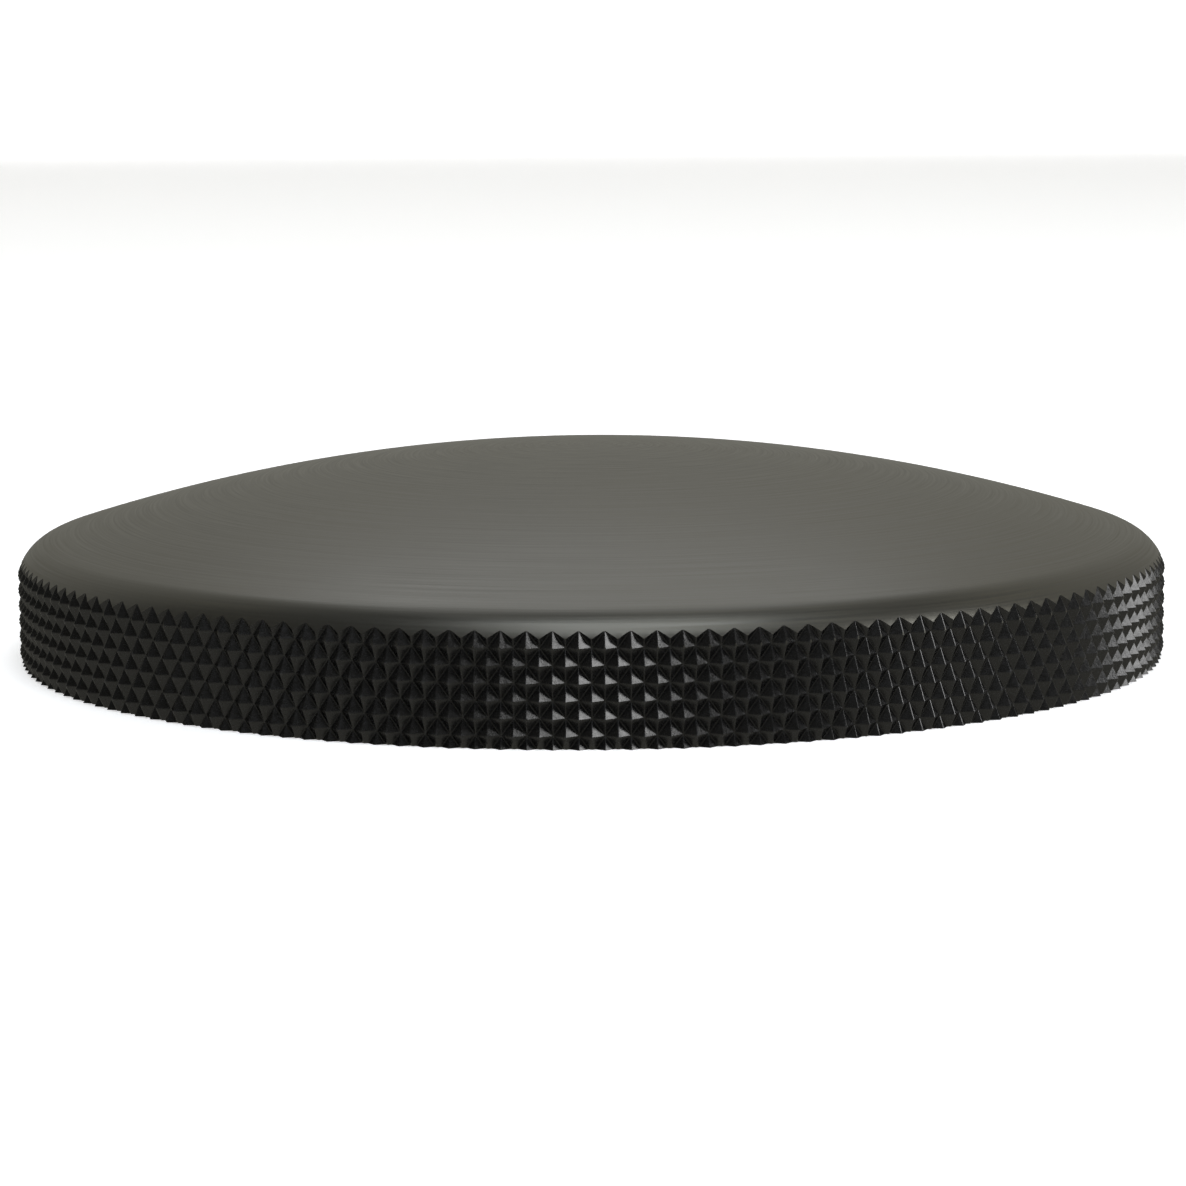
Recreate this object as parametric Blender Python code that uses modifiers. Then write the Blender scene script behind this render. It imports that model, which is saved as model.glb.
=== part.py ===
"""A vented cam-lock filler cap: a domed billet shell with a diamond-knurled rim over a sprung neck seal.

The shell turns on a filler neck. Two lugs of the ring under its skirt catch below the neck's lip, and a wave
spring presses the seal down on the lip. The seal unit swivels on a centre post, so that the seal stays still
while the shell turns, and a ball valve inside the post lets air into the tank.

Metres, +Z up. The origin is the centre of the rim's bottom plane. Radii are measured from the Z axis.
"""

import math

import bmesh
import bpy
from mathutils import Matrix, Vector

MM = 0.001

# Driving sizes of the outside.
CAP_DIAMETER = 76.2 * MM  # over the knurl's points: 3 inch bar
CAP_HEIGHT = 13.5 * MM  # rim plane to the dome's top
SHOULDER_START = 5.0 * MM  # height where the upright rim turns into the shoulder
SHOULDER_RADIUS = 3.05 * MM

# The diamond knurl, rolled with a 21 teeth per inch wheel.
KNURL_TEETH = 160
KNURL_DIAMOND_HEIGHT = 2.02 * MM
KNURL_DEPTH = 0.5 * MM
KNURL_PHASE = -0.26 * MM  # height of the row of points nearest the rim plane
KNURL_MARGIN = 0.06 * MM  # how far the turned blank stands outside the knurl's points

# Walls and steps inside the skirt, counted inwards from the outside.
SKIRT_WALL = 2.6 * MM
LEDGE_WIDTH = 6.0 * MM
STEP_HEIGHT = 6.0 * MM  # underside of the step around the carrier's pocket
BOSS_RADIUS = 7.5 * MM
BOSS_DROP = 1.4 * MM  # how far the boss hangs below the spring pocket's ceiling
AIR_HOLE_RADIUS = 0.45 * MM  # across the boss

# Clearances.
SEAT_GAP = 0.3 * MM  # between faces that rest on each other
RUNNING_GAP = 0.1 * MM  # between pieces that slide or turn on each other

# Ring with the two lugs.
RING_RECESS = 0.3 * MM
RING_THICKNESS = 1.6 * MM
RING_SHY = 0.3 * MM  # how far the ring's bore stays outside the ledge's
LUG_REACH = 4.0 * MM
LUG_SPAN_DEG = 52.5
LUG_COUNT = 2
LUG_RAMP_DEG = 7.0
LUG_RAMP_DEPTH = 0.7 * MM  # at the lug's leading end
LUG_ROOT = 0.8 * MM  # what the ramp leaves between itself and the ring's bore

# Seal unit.
LIP_GAP = 1.3 * MM  # from the lugs' tops to the seal, less than the neck lip's thickness
LIP_CLEARANCE = 2.4 * MM  # from the ledge's bore to the seal's outer edge
SEAL_THICKNESS = 1.8 * MM
SEAL_WIDTH = 8.6 * MM
CARRIER_THICKNESS = 1.0 * MM
CARRIER_OVERHANG = 0.5 * MM
RETAINER_FLANGE = 0.8 * MM
RETAINER_GRIP = 1.8 * MM
SEAL_TRAVEL = 1.0 * MM

# Thrust washer and wave spring.
WASHER_THICKNESS = 0.6 * MM
WASHER_BORE_RADIUS = 11.5 * MM
WASHER_RADIUS = 18.0 * MM
SPRING_THICKNESS = 0.5 * MM
SPRING_HEIGHT = 1.8 * MM
SPRING_WAVES = 3
SPRING_INSET = 0.8 * MM  # from each edge of the thrust washer

# Centre post.
POST_RADIUS = 5.5 * MM
POST_HEAD_RADIUS = 9.5 * MM
POST_HEAD_THICKNESS = 1.4 * MM
POST_THREAD_RADIUS = 3.9 * MM
POST_THREAD_LENGTH = 3.2 * MM
POST_FLAT = 0.9 * MM  # depth of the air flat along the thread
POST_SLOT_WIDTH = 2.0 * MM
POST_SLOT_DEPTH = 0.8 * MM
POST_WASHER_THICKNESS = 0.5 * MM
HUB_WALL = 2.9 * MM
O_RING_WIRE_RADIUS = 0.55 * MM
O_RING_GROOVE_DEPTH = 1.2 * MM
O_RING_GROOVE_WIDTH = 1.4 * MM

# Vent valve inside the post.
VENT_BORE_RADIUS = 2.4 * MM
VENT_HOLE_RADIUS = 0.9 * MM
VENT_SEAT_SLOPE = 1.5  # how fast the seat narrows: radius per height
VENT_SEAT_DROP = 1.2 * MM  # from the post's shoulder down to the seat's wide end
BALL_RADIUS = 1.9 * MM
VENT_SPRING_WIRE_RADIUS = 0.15 * MM
VENT_SPRING_TURNS = 3.0
FILTER_THICKNESS = 0.5 * MM
PLUG_THICKNESS = 0.8 * MM
PLUG_INSET = 0.2 * MM

# Countersunk screws, for the ring and for the retainer.
SCREW_RADIUS = 1.0 * MM
SCREW_HEAD_RADIUS = 1.9 * MM
SCREW_HEAD_HEIGHT = 1.0 * MM
SCREW_HEX_RADIUS = 0.75 * MM
SCREW_HEX_DEPTH = 0.7 * MM
RING_SCREW_LENGTH = 5.0 * MM
RING_SCREW_COUNT = 6
RETAINER_SCREW_COUNT = 4

# Facets. The shell has one facet for every two knurl teeth.
SHELL_SEGMENTS = KNURL_TEETH // 2
RING_SEGMENTS = 48
SMALL_SEGMENTS = 24
SCREW_SEGMENTS = 12
DOME_STEPS = 5
SHOULDER_STEPS = 4
OVERCUT = 1.0 * MM  # how far a cutter passes the faces that it cuts

# Radii that follow from the sizes above.
CAP_RADIUS = CAP_DIAMETER / 2
BLANK_RADIUS = CAP_RADIUS + KNURL_MARGIN
COUNTERBORE_RADIUS = CAP_RADIUS - SKIRT_WALL
LEDGE_RADIUS = COUNTERBORE_RADIUS - LEDGE_WIDTH
RING_RADIUS = COUNTERBORE_RADIUS - SEAT_GAP
RING_BORE_RADIUS = LEDGE_RADIUS + RING_SHY
LUG_RADIUS = RING_BORE_RADIUS - LUG_REACH
RING_SCREW_CIRCLE = (RING_RADIUS + RING_BORE_RADIUS) / 2
SEAL_RADIUS = LEDGE_RADIUS - LIP_CLEARANCE
SEAL_BORE_RADIUS = SEAL_RADIUS - SEAL_WIDTH
CARRIER_RADIUS = SEAL_RADIUS + CARRIER_OVERHANG
CARRIER_POCKET_RADIUS = CARRIER_RADIUS + 2 * SEAT_GAP
SPRING_POCKET_RADIUS = WASHER_RADIUS + 1.0 * MM
HUB_BORE_RADIUS = POST_RADIUS + RUNNING_GAP
HUB_RADIUS = HUB_BORE_RADIUS + HUB_WALL
RETAINER_BORE_RADIUS = HUB_RADIUS + SEAT_GAP
RETAINER_RADIUS = SEAL_BORE_RADIUS - SEAT_GAP
RETAINER_FLANGE_RADIUS = SEAL_BORE_RADIUS + RETAINER_GRIP
RETAINER_SCREW_CIRCLE = (RETAINER_BORE_RADIUS + RETAINER_RADIUS) / 2
SPRING_BORE_RADIUS = WASHER_BORE_RADIUS + SPRING_INSET
SPRING_RADIUS = WASHER_RADIUS - SPRING_INSET
TAP_RADIUS = POST_THREAD_RADIUS + SEAT_GAP
SCREW_HOLE_RADIUS = SCREW_RADIUS + SEAT_GAP

# Heights that follow, from the rim plane up. The stack of the seal unit sets the pocket's ceilings.
RING_TOP = RING_RECESS + RING_THICKNESS
LEDGE_FACE = RING_TOP + SEAT_GAP
SEAL_BASE = RING_TOP + LIP_GAP
CARRIER_BASE = SEAL_BASE + SEAL_THICKNESS + SEAT_GAP
CARRIER_TOP = CARRIER_BASE + CARRIER_THICKNESS
RETAINER_BASE = SEAL_BASE - SEAT_GAP - RETAINER_FLANGE
WASHER_BASE = CARRIER_TOP + SEAT_GAP
SPRING_BASE = WASHER_BASE + WASHER_THICKNESS + SEAT_GAP
SPRING_CEILING = SPRING_BASE + SPRING_HEIGHT + SEAT_GAP
CARRIER_CEILING = CARRIER_TOP + SEAL_TRAVEL + 0.4 * MM
BOSS_FACE = SPRING_CEILING - BOSS_DROP
POST_SHOULDER = BOSS_FACE - SEAT_GAP
POST_HEAD_TOP = RETAINER_BASE - SEAT_GAP
POST_HEAD_BASE = POST_HEAD_TOP - POST_HEAD_THICKNESS
POST_WASHER_BASE = POST_HEAD_TOP + SEAT_GAP
HUB_BASE = POST_WASHER_BASE + POST_WASHER_THICKNESS + SEAT_GAP
POST_TOP = POST_SHOULDER + POST_THREAD_LENGTH
TAP_END = POST_TOP + SEAT_GAP
O_RING_HEIGHT = (HUB_BASE + CARRIER_TOP) / 2
VENT_SEAT_BASE = POST_SHOULDER - VENT_SEAT_DROP
VENT_SEAT_TOP = VENT_SEAT_BASE + (VENT_BORE_RADIUS - VENT_HOLE_RADIUS) / VENT_SEAT_SLOPE
BALL_HEIGHT = (
    VENT_SEAT_BASE
    + VENT_BORE_RADIUS / VENT_SEAT_SLOPE
    - (BALL_RADIUS + RUNNING_GAP) * math.hypot(1, VENT_SEAT_SLOPE) / VENT_SEAT_SLOPE
)
PLUG_BASE = POST_HEAD_BASE + PLUG_INSET
FILTER_BASE = PLUG_BASE + PLUG_THICKNESS + SEAT_GAP
VENT_SPRING_BASE = FILTER_BASE + FILTER_THICKNESS + SEAT_GAP + VENT_SPRING_WIRE_RADIUS


def clear_scene():
    """Empties the scene and makes one collection for the cap and one for its cutters."""
    for obj in list(bpy.data.objects):
        bpy.data.objects.remove(obj)
    collections = {}
    for name in ("filler_cap", "cutters"):
        collections[name] = bpy.data.collections.new(name)
        bpy.context.scene.collection.children.link(collections[name])
    return collections["filler_cap"], collections["cutters"]


def finish(name, color, roughness, metallic):
    """A Principled material of one colour."""
    material = bpy.data.materials.new(name)
    material.use_nodes = True
    shader = material.node_tree.nodes["Principled BSDF"]
    shader.inputs["Base Color"].default_value = (*color, 1.0)
    shader.inputs["Roughness"].default_value = roughness
    shader.inputs["Metallic"].default_value = metallic
    return material


def add_object(name, mesh, material, collection, base=0.0, parent=None):
    """Puts a mesh in the scene, its own origin on the Z axis at the height base."""
    obj = bpy.data.objects.new(name, mesh)
    obj.location.z = base
    collection.objects.link(obj)
    if material and not mesh.materials:
        mesh.materials.append(material)
    if parent:
        obj.parent = parent
        obj.location.z = base - parent.location.z
    return obj


def add_axis(name, height, collection):
    """An empty on the Z axis, which carries the pieces of one moving unit."""
    axis = bpy.data.objects.new(name, None)
    axis.location.z = height
    collection.objects.link(axis)
    return axis


def turn(obj, segments, angle=math.tau):
    """Turns the object's outline round the Z axis."""
    screw = obj.modifiers.new("turn", "SCREW")
    screw.axis = "Z"
    screw.angle = angle
    screw.steps = segments
    screw.render_steps = segments
    screw.use_merge_vertices = True
    screw.merge_threshold = 1e-6
    screw.use_smooth_shade = False
    return screw


def turned(name, outline, material, collection, base=0.0, segments=SMALL_SEGMENTS, parent=None):
    """A turned piece. The outline is (radius, height) pairs that run down its outer side.

    It starts and ends on the axis, or else it is closed, which makes a ring.
    """
    mesh = bpy.data.meshes.new(name)
    count = len(outline)
    edges = [(i, i + 1) for i in range(count - 1)]
    if outline[0][0] > 0:
        edges.append((count - 1, 0))
    mesh.from_pydata([(radius, 0.0, height) for radius, height in outline], edges, [])
    obj = add_object(name, mesh, material, collection, base, parent)
    turn(obj, segments)
    return obj


def washer(name, bore, radius, thickness, material, collection, base, segments, parent=None):
    """A flat ring."""
    outline = [(bore, thickness), (radius, thickness), (radius, 0.0), (bore, 0.0)]
    return turned(name, outline, material, collection, base, segments, parent)


def realised(obj):
    """The object's evaluated mesh, as a mesh of its own."""
    bpy.context.view_layer.update()
    graph = bpy.context.evaluated_depsgraph_get()
    return bpy.data.meshes.new_from_object(obj.evaluated_get(graph))


def apply_modifiers(obj):
    """Replaces the object's mesh by its evaluated one."""
    mesh = realised(obj)
    obj.modifiers.clear()
    obj.data = mesh
    return obj


def hide_cutter(obj):
    """Marks an object as a cutter, which isn't part of the cap."""
    obj.hide_render = True
    obj.display_type = "WIRE"
    return obj


def cylinder_cutter(name, radius, length, place, cutters, axis="Z", segments=SCREW_SEGMENTS, tip_radius=None):
    """A round cutter centred at place. With a tip radius it narrows towards its +Z end."""
    mesh = bpy.data.meshes.new(name)
    shape = bmesh.new()
    bmesh.ops.create_cone(
        shape,
        cap_ends=True,
        segments=segments,
        radius1=radius,
        radius2=radius if tip_radius is None else tip_radius,
        depth=length,
    )
    if axis == "X":
        bmesh.ops.rotate(shape, verts=shape.verts, matrix=Matrix.Rotation(math.pi / 2, 3, "Y"))
    bmesh.ops.translate(shape, verts=shape.verts, vec=Vector(place))
    shape.to_mesh(mesh)
    shape.free()
    return hide_cutter(add_object(name, mesh, None, cutters))


def box_cutter(name, size, place, cutters, turn_matrix=None):
    """A box cutter centred at place, turned about its own centre first."""
    mesh = bpy.data.meshes.new(name)
    shape = bmesh.new()
    bmesh.ops.create_cube(shape, size=1.0)
    bmesh.ops.scale(shape, verts=shape.verts, vec=Vector(size))
    if turn_matrix:
        bmesh.ops.rotate(shape, verts=shape.verts, matrix=turn_matrix)
    bmesh.ops.translate(shape, verts=shape.verts, vec=Vector(place))
    shape.to_mesh(mesh)
    shape.free()
    return hide_cutter(add_object(name, mesh, None, cutters))


def sector_cutter(name, radii, heights, start, span, cutters):
    """A cutter that fills part of a ring, between two radii and two heights."""
    mesh = bpy.data.meshes.new(name)
    shape = bmesh.new()
    corners = [(0, 0), (1, 0), (1, 1), (0, 1)]
    verts = [shape.verts.new(on_circle(radii[i], start, heights[j])) for i, j in corners]
    face = shape.faces.new(verts)
    bmesh.ops.spin(
        shape,
        geom=[face, *face.edges, *verts],
        cent=(0.0, 0.0, 0.0),
        axis=(0.0, 0.0, 1.0),
        angle=span,
        steps=round(RING_SEGMENTS * span / math.tau),
    )
    bmesh.ops.recalc_face_normals(shape, faces=shape.faces)
    shape.to_mesh(mesh)
    shape.free()
    return hide_cutter(add_object(name, mesh, None, cutters))


def boolean(obj, other, operation):
    """Adds one Boolean to the object."""
    modifier = obj.modifiers.new(f"{operation.lower()}_{other.name}", "BOOLEAN")
    modifier.operation = operation
    modifier.object = other
    modifier.solver = "EXACT"


def round_the_axis(count, first_deg=0.0):
    """The angles, in radians, of pieces spaced evenly round the axis."""
    return [math.radians(first_deg) + math.tau * i / count for i in range(count)]


def on_circle(radius, angle, height):
    """The point at that radius, angle and height."""
    return (radius * math.cos(angle), radius * math.sin(angle), height)


def arc(center, radius, start, end, steps):
    """Points of an arc. Its angles are measured from +Z, so that a growing angle runs down the outer side."""
    angles = [start + (end - start) * i / steps for i in range(steps + 1)]
    return [
        (center[0] + radius * math.sin(a), center[1] + radius * math.cos(a)) for a in angles
    ]


def dome_outline():
    """The dome's sphere and the shoulder that is tangent to it and to the upright rim, from the top down."""
    shoulder_center = (BLANK_RADIUS - SHOULDER_RADIUS, SHOULDER_START)
    rise = CAP_HEIGHT - SHOULDER_START
    dome_radius = (rise**2 + shoulder_center[0] ** 2 - SHOULDER_RADIUS**2) / (
        2 * (rise - SHOULDER_RADIUS)
    )
    dome_center = (0.0, CAP_HEIGHT - dome_radius)
    meeting = math.atan2(shoulder_center[0], shoulder_center[1] - dome_center[1])
    dome = arc(dome_center, dome_radius, 0.0, meeting, DOME_STEPS)
    dome[0] = (0.0, CAP_HEIGHT)
    shoulder = arc(shoulder_center, SHOULDER_RADIUS, meeting, math.pi / 2, SHOULDER_STEPS)
    return dome + shoulder[1:]


def knurled_blank(cutters):
    """A cylinder whose side is the diamond knurl.

    Its side is a net with one column for each half tooth and one row for each half diamond. The crossings are
    by turns a point of a diamond and a corner where two grooves cross. Splitting each cell along its short
    diagonal, between two groove corners, leaves the four flanks of every diamond. The rows go on past the
    height where the grooves run out on the shoulder.
    """
    columns = 2 * KNURL_TEETH
    row_height = KNURL_DIAMOND_HEIGHT / 2
    reach = SHOULDER_RADIUS - KNURL_MARGIN - KNURL_DEPTH
    run_out = SHOULDER_START + math.sqrt(SHOULDER_RADIUS**2 - reach**2)
    top_row = math.ceil((run_out - KNURL_PHASE) / row_height)
    rows = [(CAP_RADIUS, KNURL_PHASE + row * row_height) for row in range(top_row, -2, -1)]
    top = CAP_HEIGHT + OVERCUT
    outline = [(0.0, top), (BLANK_RADIUS, top), *rows, (0.0, rows[-1][1])]
    blank = turned("knurled_blank", outline, None, cutters, segments=columns)
    apply_modifiers(blank)
    shape = bmesh.new()
    shape.from_mesh(blank.data)
    for vert in shape.verts:
        radius = math.hypot(vert.co.x, vert.co.y)
        column = round(math.atan2(vert.co.y, vert.co.x) / math.tau * columns)
        row = round((vert.co.z - KNURL_PHASE) / row_height)
        if abs(radius - CAP_RADIUS) < KNURL_MARGIN / 2 and (column + row) % 2 == 0:
            vert.co.xy *= 1 - KNURL_DEPTH / CAP_RADIUS
    sides = [face for face in shape.faces if len(face.verts) == 4]
    bmesh.ops.triangulate(shape, faces=sides, quad_method="SHORT_EDGE")
    shape.to_mesh(blank.data)
    shape.free()
    return hide_cutter(blank)


def pocket_cutter(cutters):
    """Everything turned out of the shell: the counterbore with its ledge, the pockets and the tapped hole."""
    outline = [
        (0.0, TAP_END),
        (TAP_RADIUS, TAP_END),
        (TAP_RADIUS, BOSS_FACE),
        (BOSS_RADIUS, BOSS_FACE),
        (BOSS_RADIUS, SPRING_CEILING),
        (SPRING_POCKET_RADIUS, SPRING_CEILING),
        (SPRING_POCKET_RADIUS, CARRIER_CEILING),
        (CARRIER_POCKET_RADIUS, CARRIER_CEILING),
        (CARRIER_POCKET_RADIUS, STEP_HEIGHT),
        (LEDGE_RADIUS, STEP_HEIGHT),
        (LEDGE_RADIUS, LEDGE_FACE),
        (COUNTERBORE_RADIUS, LEDGE_FACE),
        (COUNTERBORE_RADIUS, -OVERCUT),
        (0.0, -OVERCUT),
    ]
    return hide_cutter(turned("pockets", outline, None, cutters, segments=RING_SEGMENTS))


def make_shell(metal, cap, cutters):
    """The domed shell, with its knurl, its tapped holes and the air hole through the boss."""
    outline = [*dome_outline(), (BLANK_RADIUS, 0.0), (0.0, 0.0)]
    shell = turned("cap_shell", outline, metal, cap, segments=SHELL_SEGMENTS)
    boolean(shell, knurled_blank(cutters), "INTERSECT")
    boolean(shell, pocket_cutter(cutters), "DIFFERENCE")
    hole_depth = RING_RECESS + RING_SCREW_LENGTH + SEAT_GAP - LEDGE_FACE
    for number, angle in enumerate(round_the_axis(RING_SCREW_COUNT), 1):
        place = on_circle(RING_SCREW_CIRCLE, angle, LEDGE_FACE + (hole_depth - OVERCUT) / 2)
        hole = cylinder_cutter(
            f"ring_screw_hole_{number}", SCREW_HOLE_RADIUS, hole_depth + OVERCUT, place, cutters
        )
        boolean(shell, hole, "DIFFERENCE")
    air = cylinder_cutter(
        "boss_air_hole",
        AIR_HOLE_RADIUS,
        2 * (BOSS_RADIUS + OVERCUT),
        (0.0, 0.0, (BOSS_FACE + SPRING_CEILING) / 2),
        cutters,
        axis="X",
    )
    boolean(shell, air, "DIFFERENCE")
    return shell


def countersunk_hole(obj, name, circle, angle, face, depth, cutters):
    """Cuts a countersunk screw's hole, whose head lies at the height face and whose shank points up."""
    head_radius = SCREW_HEAD_RADIUS + SEAT_GAP
    place = on_circle(circle, angle, face + (depth - OVERCUT) / 2)
    shank = cylinder_cutter(f"{name}_shank", SCREW_HOLE_RADIUS, depth + OVERCUT, place, cutters)
    boolean(obj, shank, "DIFFERENCE")
    slope = (head_radius - SCREW_HOLE_RADIUS) / SCREW_HEAD_HEIGHT
    below = 0.2 * MM
    place = on_circle(circle, angle, face + (SCREW_HEAD_HEIGHT - below) / 2)
    head = cylinder_cutter(
        f"{name}_head",
        head_radius + slope * below,
        SCREW_HEAD_HEIGHT + below,
        place,
        cutters,
        tip_radius=SCREW_HOLE_RADIUS,
    )
    boolean(obj, head, "DIFFERENCE")


def make_lug_ring(metal, cap, cutters):
    """The flat ring with two lugs, each with a lead-in ramp on its top."""
    ring = washer(
        "lug_ring", LUG_RADIUS, RING_RADIUS, RING_THICKNESS, metal, cap, RING_RECESS, RING_SEGMENTS
    )
    lug = math.radians(LUG_SPAN_DEG)
    for number, center in enumerate(round_the_axis(LUG_COUNT, 90.0), 1):
        gap = sector_cutter(
            f"lug_gap_{number}",
            (LUG_RADIUS - OVERCUT, RING_BORE_RADIUS),
            (RING_RECESS - OVERCUT, RING_TOP + OVERCUT),
            center + lug / 2,
            math.tau / LUG_COUNT - lug,
            cutters,
        )
        boolean(ring, gap, "DIFFERENCE")
    for number, angle in enumerate(round_the_axis(RING_SCREW_COUNT), 1):
        countersunk_hole(
            ring,
            f"ring_countersink_{number}",
            RING_SCREW_CIRCLE,
            angle,
            RING_RECESS,
            RING_THICKNESS + OVERCUT,
            cutters,
        )
    for number, center in enumerate(round_the_axis(LUG_COUNT, 90.0), 1):
        start = center - math.radians(LUG_SPAN_DEG) / 2
        tilt = Matrix.Rotation(start, 3, "Z") @ Matrix.Rotation(math.radians(LUG_RAMP_DEG), 3, "X")
        inner = LUG_RADIUS - OVERCUT
        outer = RING_BORE_RADIUS - LUG_ROOT
        run = LUG_RAMP_DEPTH / math.tan(math.radians(LUG_RAMP_DEG)) + 2 * OVERCUT
        edge = Vector(on_circle((inner + outer) / 2, start, RING_TOP - LUG_RAMP_DEPTH))
        place = edge + tilt @ Vector((0.0, run / 2 - OVERCUT, RING_THICKNESS))
        size = (outer - inner, run, 2 * RING_THICKNESS)
        boolean(ring, box_cutter(f"lug_ramp_{number}", size, place, cutters, tilt), "DIFFERENCE")
    return ring


def screw_mesh(length, name, metal, collection):
    """A countersunk screw that points up from its head, with a hexagon socket."""
    hex_depth = SCREW_HEX_DEPTH
    outline = [
        (0.0, length),
        (SCREW_RADIUS - 0.3 * MM, length),
        (SCREW_RADIUS, length - 0.4 * MM),
        (SCREW_RADIUS, SCREW_HEAD_HEIGHT),
        (SCREW_HEAD_RADIUS, 0.15 * MM),
        (SCREW_HEAD_RADIUS, 0.0),
        (0.0, 0.0),
    ]
    model = turned(name, outline, metal, collection, segments=SCREW_SEGMENTS)
    socket = cylinder_cutter(
        f"{name}_socket",
        SCREW_HEX_RADIUS,
        2 * hex_depth,
        (0.0, 0.0, 0.0),
        collection,
        segments=6,
    )
    boolean(model, socket, "DIFFERENCE")
    mesh = realised(model)
    bpy.data.objects.remove(model)
    bpy.data.objects.remove(socket)
    return mesh


def make_screws(name, count, circle, face, length, metal, cap, parent=None):
    """The screws of one circle. They share one mesh, and each is its own object."""
    mesh = screw_mesh(length, name, metal, cap)
    for number, angle in enumerate(round_the_axis(count), 1):
        screw = add_object(f"{name}_{number}", mesh, metal, cap, face, parent)
        screw.location.xy = on_circle(circle, angle, 0.0)[:2]


def make_post(metal, cap, cutters):
    """The centre post: slotted head, shoulder with an O-ring groove, thread, and the vent bore through it."""
    groove_top = O_RING_HEIGHT + O_RING_GROOVE_WIDTH / 2
    groove_base = O_RING_HEIGHT - O_RING_GROOVE_WIDTH / 2
    groove_radius = POST_RADIUS - O_RING_GROOVE_DEPTH
    outline = [
        (VENT_HOLE_RADIUS, POST_TOP),
        (POST_THREAD_RADIUS - 0.4 * MM, POST_TOP),
        (POST_THREAD_RADIUS, POST_TOP - 0.4 * MM),
        (POST_THREAD_RADIUS, POST_SHOULDER),
        (POST_RADIUS, POST_SHOULDER),
        (POST_RADIUS, groove_top),
        (groove_radius, groove_top),
        (groove_radius, groove_base),
        (POST_RADIUS, groove_base),
        (POST_RADIUS, POST_HEAD_TOP),
        (POST_HEAD_RADIUS, POST_HEAD_TOP),
        (POST_HEAD_RADIUS, POST_HEAD_BASE + 0.4 * MM),
        (POST_HEAD_RADIUS - 0.4 * MM, POST_HEAD_BASE),
        (VENT_BORE_RADIUS, POST_HEAD_BASE),
        (VENT_BORE_RADIUS, VENT_SEAT_BASE),
        (VENT_HOLE_RADIUS, VENT_SEAT_TOP),
    ]
    local = [(radius, height - POST_HEAD_BASE) for radius, height in outline]
    post = turned("centre_post", local, metal, cap, POST_HEAD_BASE, SMALL_SEGMENTS)
    slot = box_cutter(
        "post_slot",
        (2 * POST_HEAD_RADIUS + OVERCUT, POST_SLOT_WIDTH, 2 * POST_SLOT_DEPTH),
        (0.0, 0.0, POST_HEAD_BASE),
        cutters,
    )
    boolean(post, slot, "DIFFERENCE")
    flat = box_cutter(
        "post_air_flat",
        (2 * POST_THREAD_RADIUS, 2 * POST_FLAT, POST_THREAD_LENGTH + OVERCUT),
        (0.0, POST_THREAD_RADIUS, POST_SHOULDER + (POST_THREAD_LENGTH + OVERCUT) / 2 + RUNNING_GAP),
        cutters,
    )
    boolean(post, flat, "DIFFERENCE")
    return post


def make_seal_unit(metals, rubber, cap, cutters):
    """The carrier, the seal and the retainer, which slide and swivel together on the post."""
    axis = add_axis("seal_unit_axis", SEAL_BASE, cap)
    hub_drop = CARRIER_BASE - HUB_BASE
    carrier_outline = [
        (HUB_BORE_RADIUS, CARRIER_THICKNESS),
        (CARRIER_RADIUS, CARRIER_THICKNESS),
        (CARRIER_RADIUS, 0.0),
        (HUB_RADIUS, 0.0),
        (HUB_RADIUS, -hub_drop),
        (HUB_BORE_RADIUS, -hub_drop),
    ]
    carrier = turned(
        "seal_carrier", carrier_outline, metals["steel"], cap, CARRIER_BASE, RING_SEGMENTS, axis
    )
    washer(
        "neck_seal",
        SEAL_BORE_RADIUS,
        SEAL_RADIUS,
        SEAL_THICKNESS,
        rubber,
        cap,
        SEAL_BASE,
        RING_SEGMENTS,
        axis,
    )
    body_height = CARRIER_BASE - SEAT_GAP - RETAINER_BASE
    retainer_outline = [
        (RETAINER_BORE_RADIUS, body_height),
        (RETAINER_RADIUS, body_height),
        (RETAINER_RADIUS, RETAINER_FLANGE),
        (RETAINER_FLANGE_RADIUS, RETAINER_FLANGE),
        (RETAINER_FLANGE_RADIUS, 0.0),
        (RETAINER_BORE_RADIUS, 0.0),
    ]
    retainer = turned(
        "seal_retainer", retainer_outline, metals["plain"], cap, RETAINER_BASE, RING_SEGMENTS, axis
    )
    length = CARRIER_TOP - RUNNING_GAP - RETAINER_BASE
    for number, angle in enumerate(round_the_axis(RETAINER_SCREW_COUNT), 1):
        name = f"retainer_countersink_{number}"
        countersunk_hole(
            retainer, name, RETAINER_SCREW_CIRCLE, angle, RETAINER_BASE, body_height + OVERCUT, cutters
        )
        place = on_circle(RETAINER_SCREW_CIRCLE, angle, CARRIER_BASE + CARRIER_THICKNESS / 2)
        hole = cylinder_cutter(
            f"carrier_hole_{number}",
            SCREW_HOLE_RADIUS,
            CARRIER_THICKNESS + 2 * OVERCUT,
            place,
            cutters,
        )
        boolean(carrier, hole, "DIFFERENCE")
    make_screws(
        "retainer_screw",
        RETAINER_SCREW_COUNT,
        RETAINER_SCREW_CIRCLE,
        RETAINER_BASE,
        length,
        metals["steel"],
        cap,
        axis,
    )


def make_wave_spring(metal, cap):
    """A thin ring bent into waves, which fills the spring's free height."""
    spring = washer(
        "wave_spring",
        SPRING_BORE_RADIUS,
        SPRING_RADIUS,
        SPRING_THICKNESS,
        metal,
        cap,
        SPRING_BASE,
        RING_SEGMENTS,
    )
    apply_modifiers(spring)
    swing = (SPRING_HEIGHT - SPRING_THICKNESS) / 2
    for vert in spring.data.vertices:
        angle = math.atan2(vert.co.y, vert.co.x)
        vert.co.z += swing * (1 + math.sin(SPRING_WAVES * angle))
    return spring


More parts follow.
